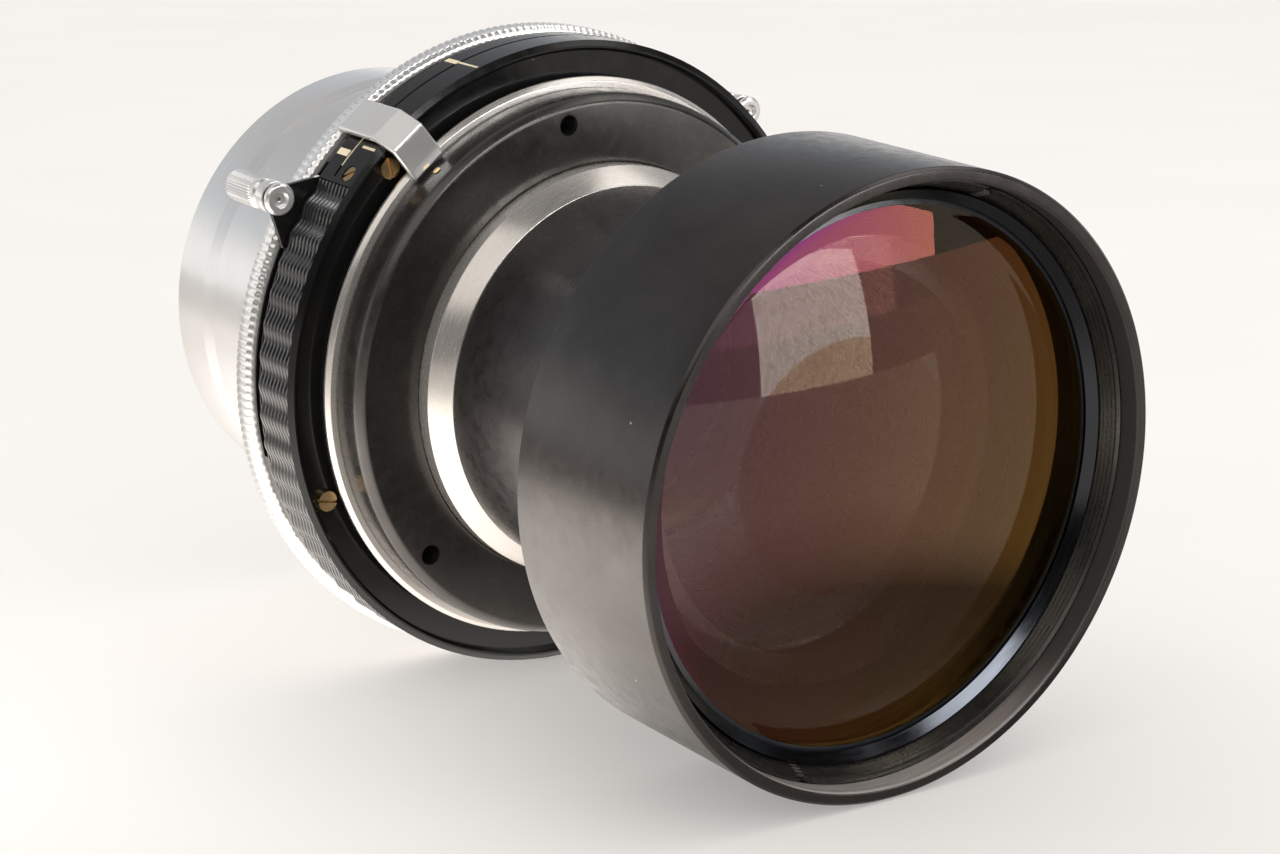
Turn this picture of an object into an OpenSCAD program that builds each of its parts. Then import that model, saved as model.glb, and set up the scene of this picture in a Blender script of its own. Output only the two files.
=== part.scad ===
// Large-format camera lens in a between-the-lens leaf shutter.
// The optical axis runs along Y: the rear (film side) is at -Y and the front at +Y.
// The origin is on the axis, in the plane of the mounting flange's rear face, where a lens board sits.
// Angles around the axis are measured towards +X from a datum that is turned from +Z by roll.

/* [Rear barrel] */
// Outer radius of the rear barrel
barrel_r = 42.5; // [42:0.1:43]
// Distance from the flange face back to the rear rim
rim_y = 70.5; // [69:0.5:74]
// Length of the rear barrel
barrel_len = 28.4; // [27:0.1:28.6]
// Radius of the opening in the rear rim
rim_bore_r = 40.6; // [40.4:0.1:41]

/* [Neck and mounting] */
// Outer radius of the neck between barrel and shutter
neck_r = 28.5; // [28.4:0.05:28.6]
// Radius of the bright mounting tube that passes through the lens board
spigot_r = 31; // [30.8:0.1:31.5]
// How far the full-radius part of that tube stands behind the flange
spigot_len = 2.2; // [1.5:0.1:2.6]
// Radius of the mounting flange's rear face
flange_r = 40; // [39.5:0.1:40.2]
// Circle of the board screws
board_pcd = 75; // [74:0.5:76]
// Radius of the board screw holes
board_hole_r = 1.5; // [1:0.1:1.8]

/* [Shutter] */
// Outer radius of the smooth scale band
band_r = 47.7; // [47.6:0.05:47.8]
// Outer radius of the knurled speed ring
speed_r = 48.5; // [48.2:0.1:48.8]
// Clear radius of the shutter's bore
bore_r = 22.8; // [22:0.1:23]
// Grip scallops to a full turn
scallops = 66; // [60:1:90]
// Height of a grip scallop
scallop_h = 0.45; // [0.2:0.05:0.6]

/* [Iris and shutter blades] */
// Radius of the circle of blade pivots
pivot_circle = 41; // [40.8:0.1:41.2]
// Radius of a blade pivot
pivot_r = 0.6; // [0.5:0.05:0.7]
// Inner radius of an open blade
blade_in = 23.2; // [23:0.1:23.4]
// Thickness of a blade
blade_t = 0.16; // [0.1:0.01:0.18]
// Turn of a closed shutter blade about its pivot, in degrees
blade_closed = 35; // [34:0.5:36]

/* [Aperture lever and levers] */
// Angle of the aperture lever around the axis
clip_at = -48; // [-50:1:-46]
// Width of the aperture lever
clip_w = 6; // [5:0.5:7]
// Angle of the cocking lever's knob around the axis
cock_at = -67; // [-70:1:-66]
// Angle of the release lever's knob around the axis
release_at = 42; // [40:1:44]
// Radius at which the lever knobs stand
knob_at_r = 51.4; // [51.3:0.1:52]
// Radius of a lever knob
knob_r = 2.35; // [2:0.05:2.4]

/* [Attitude] */
// Turn of the whole lens about its axis, from +Z towards +X, as it lies on its side
roll = 7.7; // [0:0.1:30]

/* [Front barrel] */
// Outer radius of the front barrel
front_r = 35; // [34.6:0.1:35.2]
// Distance from the flange face to the front rim
front_y = 66.7; // [66:0.1:68]
// Radius of the filter seat in the front rim
filter_r = 33.5; // [33.3:0.1:33.7]

/* [Hidden] */
$fn = 96;
eps = 0.01;
fit_gap = 0.05;              // radial gap of a piece that sits in a bore

// Rear barrel, from the rim forward
rear = -rim_y;
barrel_front = rear + barrel_len;
wall = 3;                    // thickness of the barrel's front wall
ring_y = rear + 3.1;         // rear face of the retaining ring
glass_y = rear + 7;          // rear edge of the rear element
ledge_y = rear + 13.5;       // seat of the rear element
spacer_front = ledge_y + 3;
neck_flange_y = barrel_front - wall;

// Shutter levels along the axis
ring_back = 6;               // rear face of the aperture ring
floor_y = 8.9;               // rear face of the housing's floor
floor_t = 1.1;
lip_y = 7.7;                 // rearmost edge of the housing's rim
band_back = 8.2;
band_front = 16.9;
step_front = 18.6;
chamber_r = 45.9;            // inner radius of the housing
iris_y = 11.2;
iris_pitch = 0.3;
iris_count = 7;
middle_y = 13.5;
middle_t = 0.6;
shut_y = 14.35;
shut_pitch = 0.28;
shut_count = 5;
lever_y = 17.35;
lever_t = 0.8;
works_y = 16.5;
cam_y = 18.8;
speed_front = 22.5;
front_plate_y = 22.7;
front_plate_t = 1.5;
barrel_back = front_plate_y + front_plate_t;
hub_r = 29.4;
hub_bore = 28;
iris_at = 10;                // angle of the first iris pivot
shut_at = 30;                // angle of the first shutter blade pivot
blade_out = 37.5;            // outer radius of an open blade
blade_span = 115;
ear_r = 1.8;
board_at = [-138, -18, 102];
screw_at = [-119.5, -53, 95];
screw_circle = 44.3;
link_at = [150, 230];
link_travel = 60;            // travel of the aperture lever, in degrees
link_r = 0.8;
grip_from = 70;              // the scallops run from here round the back to the scale
grip_to = 299.5;
scale_screw_at = -58;
scale_screw_y = 10.7;
cock_travel = 35;
release_travel = 12;

// Front group inside the front barrel
cell_r = 32.5;               // bore that the front element and its ring sit in
cell_seat_y = front_y - 14.7;
cell_ring_y = cell_seat_y + 6;
filter_seat_y = front_y - 5.3;

// Turns the working frame, with its axis up and its datum angle along its x, into the lens frame
module lens() {
  rotate([-90, 0, 0]) rotate([0, 0, roll - 90]) children();
}

// Turned piece: points are [radius, distance along the axis]
module turned(points) {
  rotate_extrude() polygon(points);
}

module tube(r_out, r_in, y0, y1) {
  turned([[r_in, y0], [r_out, y0], [r_out, y1], [r_in, y1]]);
}

// Part of a ring between two angles
module arc(r_in, r_out, y0, y1, from, to) {
  rotate([0, 0, from]) rotate_extrude(angle = to - from)
    translate([r_in, y0]) square([r_out - r_in, y1 - y0]);
}

// Upright pin at a radius and an angle
module pin(r, at_r, angle, y0, y1) {
  rotate([0, 0, angle]) translate([at_r, 0, y0]) cylinder(r = r, h = y1 - y0, $fn = 32);
}

// Points along a shallow lens surface from the axis to its rim, with a signed sag
function dome(r, y_rim, sag, n = 14) =
  let (R = (r * r + sag * sag) / (2 * abs(sag)), s = sign(sag))
  [for (i = [0 : n]) let (q = r * i / n) [q, y_rim + s * (sqrt(R * R - q * q) - (R - abs(sag)))]];

function reversed(list) = [for (i = [len(list) - 1 : -1 : 0]) list[i]];

// Glass element between two rims, with a signed sag on each side
module element(r_rear, r_front, y_rear, y_front, sag_rear, sag_front, r_edge) {
  turned(concat(dome(r_rear, y_rear, sag_rear), [[r_edge, y_rear], [r_edge, y_front]],
    reversed(dome(r_front, y_front, sag_front))));
}

module rear_barrel() {
  color([0.06, 0.06, 0.06]) lens() turned([
    [rim_bore_r, rear], [barrel_r - 0.5, rear], [barrel_r, rear + 0.5], [barrel_r, barrel_front - 0.3],
    [barrel_r - 0.3, barrel_front], [neck_r + fit_gap, barrel_front],
    [neck_r + fit_gap, neck_flange_y], [rim_bore_r, neck_flange_y]]);
}

// Slotted ring that holds the rear element, with a ribbed cone inside
module rear_retaining_ring() {
  cone_rear = 39.8;
  cone_front = 38.5;
  ring_out = rim_bore_r - fit_gap;
  slot_w = 1.4;
  slot_d = 0.9;
  color([0.05, 0.05, 0.05]) lens() difference() {
    turned([[cone_rear, ring_y], [ring_out, ring_y], [ring_out, glass_y], [cone_front, glass_y]]);
    for (a = [11, 191]) rotate([0, 0, a])
      translate([cone_rear - 1, -slot_w / 2, ring_y - 1]) cube([3, slot_w, 1 + slot_d]);
  }
}

module rear_cell() {
  seat = 39.45;
  spacer_bore = 34.5;
  inner_seat = 33.1;
  lip = 30;
  cell_front = neck_flange_y - 2.2;
  out = rim_bore_r - fit_gap;
  color([0.05, 0.05, 0.05]) lens() turned([
    [seat, glass_y], [out, glass_y], [out, cell_front], [lip, cell_front],
    [lip, cell_front - 1.5], [inner_seat, cell_front - 1.5], [inner_seat, spacer_front],
    [spacer_bore, spacer_front], [spacer_bore, ledge_y], [seat, ledge_y]]);
}

module rear_element() {
  color([0.45, 0.33, 0.3, 0.5]) lens() element(38.5, 34, glass_y, ledge_y, -3, -2.5, 39.4);
}

module rear_spacer() {
  color([0.07, 0.07, 0.07]) lens() tube(34.4, 32, ledge_y, spacer_front);
}

module rear_inner_element() {
  color([0.45, 0.35, 0.4, 0.5]) lens()
    element(31, 29.5, spacer_front, neck_flange_y - 3.7, -3.6, 1.2, 33);
}

module neck_tube() {
  thread = 27.9;
  step_y = -5.3;
  color([0.07, 0.07, 0.07]) lens() turned([
    [26, neck_flange_y - 1.9], [30, neck_flange_y - 1.9], [30, neck_flange_y - 0.05],
    [neck_r, neck_flange_y - 0.05], [neck_r, step_y], [thread, step_y], [thread, 8],
    [25.3, 8], [25.3, -5], [24.3, -5], [24.3, -6.5], [26, -6.5]]);
}

module neck_element() {
  color([0.4, 0.35, 0.42, 0.5]) lens() element(24, 24, -5, 3, 1.5, -2, 25.2);
}

module neck_ring() {
  color([0.06, 0.06, 0.06]) lens() tube(25.25, 23.6, 3, 5.5);
}

module thread_tube() {
  back = -5.05;
  color([0.8, 0.8, 0.79]) lens() turned([
    [28, back], [28.55, back], [spigot_r, -spigot_len], [spigot_r, floor_y], [28, floor_y]]);
}

module mounting_flange() {
  hub = 38.4;
  hole_depth = 5;
  inner = spigot_r + fit_gap;
  color([0.08, 0.08, 0.08]) lens() difference() {
    turned([[inner, 0], [flange_r, 0], [flange_r + 0.9, 1], [flange_r + 1.1, ring_back - 0.12],
      [hub, ring_back - 0.12], [hub, floor_y], [inner, floor_y]]);
    for (a = board_at) pin(board_hole_r, board_pcd / 2, a, -1, hole_depth);
    dot_bore();
  }
}

// Radial hole for the index dot
module dot_bore() {
  rotate([0, 0, clip_at]) translate([38.9, 0, 3.6]) rotate([0, 90, 0]) cylinder(r = 0.55, h = 4, $fn = 24);
}

module index_dot() {
  color([0.8, 0.62, 0.35]) lens() rotate([0, 0, clip_at]) translate([38.9, 0, 3.6])
    rotate([0, 90, 0]) cylinder(r = 0.55, h = 2.25, $fn = 24);
}

module aperture_ring() {
  color([0.75, 0.73, 0.7]) lens() turned([
    [38.55, ring_back], [42, ring_back], [42.6, ring_back + 0.6], [42.6, ring_back + 1],
    [38.55, ring_back + 1]]);
}

// Bent tab on the aperture ring: it reaches over the rim and points at the scale
module aperture_lever() {
  back = ring_back - 1.1;
  out = 49.35;
  inner = 48.15;
  color([0.78, 0.78, 0.78]) lens() rotate([0, 0, clip_at]) translate([0, clip_w / 2, 0])
    rotate([90, 0, 0]) linear_extrude(height = clip_w) polygon([
      [41.4, back], [47.3, back], [out, 8.6], [out, 18.45], [inner, 18.45], [inner, 8.9],
      [46.6, ring_back], [41.4, ring_back]]);
}

// Pins that carry the aperture ring's turn through the housing's floor
module aperture_link() {
  color([0.5, 0.5, 0.5]) lens() for (a = link_at)
    pin(link_r, pivot_circle, a, ring_back + 1, 10.15);
}

module iris_drive_ring() {
  color([0.3, 0.3, 0.31]) lens() difference() {
    tube(44.6, 36, 10.15, 10.9);
    for (k = [0 : iris_count - 1]) rotate([0, 0, iris_at + 25 + k * 360 / iris_count])
      translate([36.8, -0.6, 10]) cube([2.6, 1.2, 2]);
  }
}

module pivots(count, first, y0, y1) {
  for (k = [0 : count - 1]) pin(pivot_r, pivot_circle, first + k * 360 / count, y0, y1);
}

module iris_pivots() {
  color([0.55, 0.55, 0.55]) lens() pivots(iris_count, iris_at, iris_y - 0.15, middle_y);
}

// Blade in the shape of an arc, with an ear that turns on its pivot
module blade(y, angle, turn) {
  hole = pivot_r + 0.06;
  rotate([0, 0, angle]) translate([pivot_circle, 0, y]) rotate([0, 0, turn])
    translate([-pivot_circle, 0, 0]) difference() {
      union() {
        arc(blade_in, blade_out, 0, blade_t, 0, blade_span);
        translate([pivot_circle, 0, 0]) cylinder(r = ear_r, h = blade_t, $fn = 32);
        translate([blade_out - 1, 0, 0]) cube([pivot_circle - blade_out + 1, ear_r, blade_t]);
      }
      translate([pivot_circle, 0, -1]) cylinder(r = hole, h = 2, $fn = 32);
    }
}

module iris_blade(k) {
  color([0.16, 0.16, 0.18]) lens()
    blade(iris_y + (k - 1) * iris_pitch, iris_at + (k - 1) * 360 / iris_count, 0);
}

module middle_plate() {
  color([0.25, 0.25, 0.26]) lens() tube(chamber_r - fit_gap, bore_r, middle_y, middle_y + middle_t);
}

module shutter_blade(k) {
  color([0.12, 0.12, 0.13]) lens()
    blade(shut_y + (k - 1) * shut_pitch, shut_at + (k - 1) * 360 / shut_count, blade_closed);
}

module shutter_pivots() {
  color([0.55, 0.55, 0.55]) lens()
    pivots(shut_count, shut_at, middle_y + middle_t, shut_y + shut_count * shut_pitch);
}

module shutter_ring() {
  color([0.6, 0.55, 0.4]) lens() tube(40, 30, 15.95, 16.2);
}

module works_plate() {
  color([0.7, 0.6, 0.35]) lens() tube(chamber_r - fit_gap, bore_r, works_y, works_y + 0.6);
}

// Black shutter body: floor, wall and rear lip
module housing() {
  shell = 46.95;
  step_r = 47.25;
  slot_y = lever_y - 0.15;
  slot_front = lever_y + lever_t + 0.15;
  color([0.05, 0.05, 0.05]) lens() difference() {
    turned([
      [28, floor_y], [46.2, floor_y], [46.2, lip_y + 0.4], [46.6, lip_y], [46.9, lip_y],
      [band_r, band_back], [shell, band_back], [shell, band_front], [step_r, band_front],
      [step_r, step_front], [chamber_r, step_front], [chamber_r, floor_y + floor_t],
      [28, floor_y + floor_t]]);
    for (a = link_at)
      arc(pivot_circle - link_r - 0.25, pivot_circle + link_r + 0.25, floor_y - 1, 11, a - 3, a + link_travel + 3);
    arc(chamber_r - 1, 49, slot_y, slot_front, cock_at - cock_travel - 10, cock_at + 10);
    arc(chamber_r - 1, 49, slot_y, slot_front, release_at - 8, release_at + release_travel + 8);
    for (a = screw_at) pin(0.9, screw_circle, a, floor_y - 1, 11);
    scale_screw_bore(0.75);
  }
}

// Scalloped grip round the rim
module grip_band() {
  steps = 8;                  // points to a scallop
  r_in = 47;
  n = floor((grip_to - grip_from) * scallops * steps / 360);
  outer = [for (i = [0 : n]) let (a = grip_from + i * 360 / (scallops * steps))
    (band_r + 0.05 - scallop_h / 2 * (1 - cos(a * scallops))) * [cos(a), sin(a)]];
  color([0.06, 0.06, 0.06]) lens() difference() {
    translate([0, 0, band_back]) linear_extrude(height = band_front - band_back)
      polygon(concat([[0, 0]], outer));
    translate([0, 0, band_back - 1]) cylinder(r = r_in, h = band_front - band_back + 2, $fn = 720);
  }
}

// Smooth band that carries the aperture scale, with a shallow groove along it
module scale_band() {
  groove_y = 13.5;
  color([0.05, 0.05, 0.05]) lens() difference() {
    arc(47, band_r, band_back, band_front, grip_to - 360 + 0.2, grip_from - 0.2);
    arc(band_r - 0.2, 49, groove_y - 0.25, groove_y + 0.25, grip_to - 360 + 1.2, 40);
    scale_screw_bore(1.3);
  }
}

module scale_screw_bore(r) {
  rotate([0, 0, scale_screw_at]) translate([45, 0, scale_screw_y]) rotate([0, 90, 0])
    cylinder(r = r, h = 4, $fn = 32);
}

// Slotted cheese-head screw, head towards +z
module screw(head_r, head_h, shank_r, shank_l) {
  slot = 0.45;
  difference() {
    cylinder(r = head_r, h = head_h, $fn = 32);
    translate([-head_r - 1, -slot / 2, head_h / 2]) cube([2 * head_r + 2, slot, head_h]);
  }
  translate([0, 0, -shank_l]) cylinder(r = shank_r, h = shank_l + eps, $fn = 32);
}

module scale_screw() {
  color([0.75, 0.58, 0.33]) lens() rotate([0, 0, scale_screw_at]) translate([47, 0, scale_screw_y])
    rotate([0, 90, 0]) rotate([0, 0, 35]) screw(1.2, 0.55, 0.7, 1);
}

module back_screws() {
  color([0.75, 0.58, 0.33]) lens() for (a = screw_at) rotate([0, 0, a])
    translate([screw_circle, 0, floor_y]) rotate([180, 0, 30]) screw(1.5, 0.95, 0.85, 1);
}

// Ring segment inside the housing with an arm out to the knob
module lever(at, from, to, half_base) {
  hole = 1.22;
  arm_end = 2.1;
  color([0.07, 0.07, 0.07]) lens() difference() {
    union() {
      arc(42.3, 45.6, lever_y, lever_y + lever_t, at + from, at + to);
      rotate([0, 0, at]) translate([0, 0, lever_y]) linear_extrude(height = lever_t)
        polygon([[44.6, -half_base], [47, -half_base], [knob_at_r, -arm_end], [knob_at_r, arm_end],
          [47, half_base], [44.6, half_base]]);
      rotate([0, 0, at]) translate([knob_at_r, 0, lever_y]) cylinder(r = arm_end, h = lever_t, $fn = 48);
    }
    pin(hole, knob_at_r, at, lever_y - 1, lever_y + lever_t + 1);
  }
}

module cocking_lever() {
  lever(cock_at, -28, 14, 5.8);
}

module release_lever() {
  lever(release_at, -12, 14, 4);
}

// Turned knob: collar behind the arm, stem through it, necks and grip in front
module knob(at) {
  y1 = lever_y + lever_t;
  back = lever_y - 0.85;
  stem = 1.2;
  grip = y1 + 4.1;
  end = y1 + 11.5;
  color([0.82, 0.82, 0.8]) lens() rotate([0, 0, at]) translate([knob_at_r, 0, 0]) turned([
    [0, lever_y - 0.3], [1.1, lever_y - 0.3], [1.1, back], [knob_r - 0.2, back],
    [knob_r, back + 0.2], [knob_r, lever_y], [stem, lever_y], [stem, y1], [knob_r, y1],
    [knob_r, y1 + 1.8], [1.85, y1 + 2.2], [1.85, y1 + 2.8], [knob_r - 0.1, y1 + 3],
    [knob_r - 0.1, y1 + 3.5], [1.9, y1 + 3.7], [1.9, grip - 0.2], [knob_r, grip],
    [knob_r, end - 0.6], [knob_r - 0.6, end], [0, end]]);
}

module cocking_knob() {
  knob(cock_at);
}

module release_knob() {
  knob(release_at);
}

// Bent wire springs of the two levers
module lever_springs() {
  wire = 0.35;
  color([0.6, 0.6, 0.6]) lens() for (a = [[-160, -115], [75, 110]])
    rotate([0, 0, a[0]]) rotate_extrude(angle = a[1] - a[0])
      translate([41.5, lever_y + 0.6]) circle(r = wire, $fn = 24);
}

module speed_ring() {
  color([0.8, 0.8, 0.8]) lens() turned([
    [46, cam_y], [speed_r - 0.3, cam_y], [speed_r, cam_y + 0.3], [speed_r, speed_front - 0.4],
    [speed_r - 0.4, speed_front], [46, speed_front]]);
}

// Cam plate of the speed ring: its steps set the exposure time
module speed_cam() {
  color([0.7, 0.62, 0.4]) lens() difference() {
    tube(46, 30, cam_y, cam_y + 0.6);
    for (k = [0 : 3]) arc(33 + k, 38 + k, cam_y - 1, cam_y + 2, k * 85, k * 85 + 55);
  }
}

module front_hub() {
  color([0.7, 0.7, 0.7]) lens() turned([
    [hub_bore, works_y + 0.6], [hub_r, works_y + 0.6], [hub_r, barrel_back], [hub_bore, barrel_back]]);
}

module front_plate() {
  color([0.78, 0.78, 0.78]) lens() tube(47, hub_r, front_plate_y, barrel_back);
}

module front_barrel() {
  step_y = front_y - 10.2;
  color([0.85, 0.85, 0.84]) lens() turned([
    [26, barrel_back - 4], [hub_bore - 0.1, barrel_back - 4], [hub_bore - 0.1, barrel_back],
    [front_r, barrel_back], [front_r, step_y], [front_r + 0.35, step_y + 0.35],
    [front_r + 0.35, front_y - 0.5], [front_r - 0.15, front_y], [filter_r, front_y],
    [filter_r, filter_seat_y], [cell_r, filter_seat_y], [cell_r, cell_seat_y], [30.3, cell_seat_y],
    [30.3, cell_seat_y - 2], [32, cell_seat_y - 2], [32, barrel_back + 3], [26, barrel_back + 3]]);
}

module front_element() {
  color([0.45, 0.4, 0.5, 0.5]) lens()
    element(30, 30.4, cell_seat_y, cell_ring_y, 1.5, 3, cell_r - 0.1);
}

module front_retaining_ring() {
  y0 = cell_ring_y;
  out = cell_r - fit_gap;
  color([0.05, 0.05, 0.05]) lens() difference() {
    turned([[30.6, y0], [out, y0], [out, y0 + 3], [31.4, y0 + 3]]);
    for (a = [0, 180]) rotate([0, 0, a]) translate([30.6, -0.8, y0 + 2]) cube([3, 1.6, 2]);
  }
}

module front_inner_cell() {
  y0 = barrel_back + 3;
  color([0.05, 0.05, 0.05]) lens() turned([
    [24, y0], [31.9, y0], [31.9, y0 + 12], [25.6, y0 + 12], [25.6, y0 + 2], [24, y0 + 2]]);
}

module front_inner_element() {
  color([0.45, 0.4, 0.5, 0.5]) lens()
    element(24, 24, barrel_back + 5, barrel_back + 10, -2, 2, 25.5);
}

rear_barrel();
rear_retaining_ring();
rear_cell();
rear_element();
rear_spacer();
rear_inner_element();
neck_tube();
neck_element();
neck_ring();
thread_tube();
mounting_flange();
index_dot();
aperture_ring();
aperture_lever();
aperture_link();
iris_drive_ring();
iris_pivots();
for (k = [1 : iris_count])
  iris_blade(k);
middle_plate();
for (k = [1 : shut_count])
  shutter_blade(k);
shutter_pivots();
shutter_ring();
works_plate();
housing();
grip_band();
scale_band();
scale_screw();
back_screws();
cocking_lever();
cocking_knob();
release_lever();
release_knob();
lever_springs();
speed_ring();
speed_cam();
front_hub();
front_plate();
front_barrel();
front_element();
front_retaining_ring();
front_inner_cell();
front_inner_element();
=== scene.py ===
"""Large-format lens in a leaf shutter: finishes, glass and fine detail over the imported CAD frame."""

import math

import bmesh
import bpy
from mathutils import Matrix, Vector


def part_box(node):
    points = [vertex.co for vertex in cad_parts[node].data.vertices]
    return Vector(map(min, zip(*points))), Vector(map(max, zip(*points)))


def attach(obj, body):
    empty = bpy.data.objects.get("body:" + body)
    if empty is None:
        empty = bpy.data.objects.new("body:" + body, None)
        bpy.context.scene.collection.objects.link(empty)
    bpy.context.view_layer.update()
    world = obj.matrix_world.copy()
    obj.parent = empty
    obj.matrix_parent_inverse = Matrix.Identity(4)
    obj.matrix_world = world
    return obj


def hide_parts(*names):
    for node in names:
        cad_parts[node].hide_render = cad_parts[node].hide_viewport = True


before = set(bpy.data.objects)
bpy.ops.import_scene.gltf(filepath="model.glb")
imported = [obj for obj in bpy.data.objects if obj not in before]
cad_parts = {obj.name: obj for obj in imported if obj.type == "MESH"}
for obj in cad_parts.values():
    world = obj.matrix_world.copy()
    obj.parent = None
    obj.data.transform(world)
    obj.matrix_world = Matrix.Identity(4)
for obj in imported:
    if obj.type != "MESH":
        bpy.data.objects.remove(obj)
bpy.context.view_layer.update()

MM = 0.001

# The scale's datum: the index dot stands 48 degrees before it, seen from the rear.
DOT_BEFORE_DATUM = 48.0

# The surface that the lens lies on: its height below the axis and how far the lens is tipped on it.
FLOOR_DROP = 47.16
FLOOR_TILT = 3.73

# The table that stands for it in mirrored rays: how far ahead and how far below its middle is.
TABLE_AHEAD = 450
TABLE_BELOW = 29

# Camera: where it stands, in mm, which way it looks and its lens.
CAMERA_AT = (-232.9, -327.1, 105.1)
CAMERA_LOOK = (0.5706, 0.7747, -0.2725)
CAMERA_FOCAL = 78.82
SENSOR_WIDTH = 36

AROUND = 288            # segments of a turned piece
AROUND_BARREL = 384     # segments of the two large barrels
AROUND_GLASS = 192      # segments of a lens element
AROUND_SLOTTED = 720    # segments of the slotted ring
KNURLS = 250            # teeth round the speed ring
KNOB_KNURLS = 34        # teeth round a lever knob
SCALLOPS = 66           # scallops to a full turn of the grip band
SOFT = 0.12             # rounding of most turned edges, in mm
CRISP = 38              # an edge that turns by more degrees than this is shaded sharp

# Optical coatings: the film's and the glass's refractive index, and the glass's tint.
FILM_IOR = 1.38
GLASS_IOR = 1.75
GLASS_TINT = (0.93, 0.9, 0.86)


# ---------------------------------------------------------------- places in the frame

def polar(r, angle, y):
    """A point r mm from the optical axis, at an angle from +Z towards +X, y mm along the axis."""
    a = math.radians(angle)
    return Vector((r * math.sin(a), y, r * math.cos(a)))


def reach(node):
    """Rear end, front end and outer radius of a turned CAD node, in mm."""
    low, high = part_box(node)
    return low.y / MM, high.y / MM, (high.x - low.x) / 2 / MM


def angle_of(node):
    """Angle round the axis of the middle of a small CAD node."""
    low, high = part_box(node)
    return math.degrees(math.atan2(low.x + high.x, low.z + high.z))


DATUM = angle_of("index_dot") + DOT_BEFORE_DATUM


# ---------------------------------------------------------------- meshes

def finish_mesh(name, verts, faces, material, body, sharp=CRISP):
    """Makes a smooth-shaded piece from points in mm and puts it on its body."""
    mesh = bpy.data.meshes.new(name)
    mesh.from_pydata([Vector(v) * MM for v in verts], [], faces)
    bm = bmesh.new()
    bm.from_mesh(mesh)
    bmesh.ops.remove_doubles(bm, verts=bm.verts, dist=1e-7)
    bmesh.ops.recalc_face_normals(bm, faces=bm.faces)
    bm.to_mesh(mesh)
    bm.free()
    mesh.shade_smooth()
    mesh.set_sharp_from_angle(angle=math.radians(sharp))
    piece = bpy.data.objects.new(name, mesh)
    bpy.context.scene.collection.objects.link(piece)
    for m in (material if isinstance(material, list) else [material]):
        mesh.materials.append(m)
    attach(piece, body)
    return piece


def soften(points, size, steps=4):
    """Rounds each corner of a closed outline by about size mm."""
    out = []
    count = len(points)
    for i, p in enumerate(points):
        here = Vector(p)
        before = Vector(points[i - 1]) - here
        after = Vector(points[(i + 1) % count]) - here
        cut_before = here + before.normalized() * min(size, 0.4 * before.length)
        cut_after = here + after.normalized() * min(size, 0.4 * after.length)
        for k in range(steps + 1):
            t = k / steps
            out.append(tuple((1 - t) ** 2 * cut_before + 2 * t * (1 - t) * here + t ** 2 * cut_after))
    return out


def lathe(name, outline, material, body, around=AROUND, shape=None, centre=(0.0, 0.0), sharp=CRISP):
    """Turns a closed outline of (radius, y) about an axis along Y. shape(r, y, angle) may move its points."""
    verts = []
    faces = []
    count = len(outline)
    for j in range(around):
        angle = 360 * j / around
        for r, y in outline:
            if shape:
                r, y = shape(r, y, angle)
            p = polar(r, angle, y)
            verts.append((p.x + centre[0], p.y, p.z + centre[1]))
    for j in range(around):
        here = j * count
        after = ((j + 1) % around) * count
        for i in range(count):
            k = (i + 1) % count
            faces.append((here + i, here + k, after + k, after + i))
    return finish_mesh(name, verts, faces, material, body, sharp)


def arc_block(name, outline, from_angle, to_angle, material, body, steps=48, shape=None, sharp=CRISP):
    """Part of a turned piece between two angles, closed at both ends."""
    verts = []
    faces = []
    count = len(outline)
    for j in range(steps + 1):
        angle = from_angle + (to_angle - from_angle) * j / steps
        for r, y in outline:
            if shape:
                r, y = shape(r, y, angle)
            verts.append(tuple(polar(r, angle, y)))
    for j in range(steps):
        for i in range(count):
            k = (i + 1) % count
            faces.append((j * count + i, j * count + k, (j + 1) * count + k, (j + 1) * count + i))
    faces.append(tuple(range(count)))
    faces.append(tuple(steps * count + i for i in range(count)))
    return finish_mesh(name, verts, faces, material, body, sharp)


def bevelled(piece, width, segments=3):
    """Rounds the edges of a piece by width mm."""
    mod = piece.modifiers.new("bevel", "BEVEL")
    mod.width = width * MM
    mod.segments = segments
    mod.limit_method = "ANGLE"
    mod.angle_limit = math.radians(30)
    mod.harden_normals = True
    return piece


# ---------------------------------------------------------------- materials

def add(tree, kind, **values):
    """Adds a node and sets its properties and, by name, its inputs."""
    made = tree.nodes.new(kind)
    for key, value in values.items():
        if key in made.inputs:
            made.inputs[key].default_value = value
        else:
            setattr(made, key, value)
    return made


def maths(tree, operation, a, b=None):
    """A Math node of two sockets or numbers; gives its output."""
    made = tree.nodes.new("ShaderNodeMath")
    made.operation = operation
    for i, value in enumerate((a, b)):
        if isinstance(value, (int, float)):
            made.inputs[i].default_value = value
        elif value is not None:
            tree.links.new(value, made.inputs[i])
    return made.outputs[0]


def split_xyz(tree, vector):
    """The three parts of a vector."""
    made = add(tree, "ShaderNodeSeparateXYZ")
    tree.links.new(vector, made.inputs[0])
    return made.outputs


def place_mm(tree):
    """The surface point in mm."""
    coord = add(tree, "ShaderNodeTexCoord")
    scaled = add(tree, "ShaderNodeVectorMath", operation="SCALE")
    scaled.inputs["Scale"].default_value = 1 / MM
    tree.links.new(coord.outputs["Object"], scaled.inputs[0])
    return scaled.outputs[0]


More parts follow.
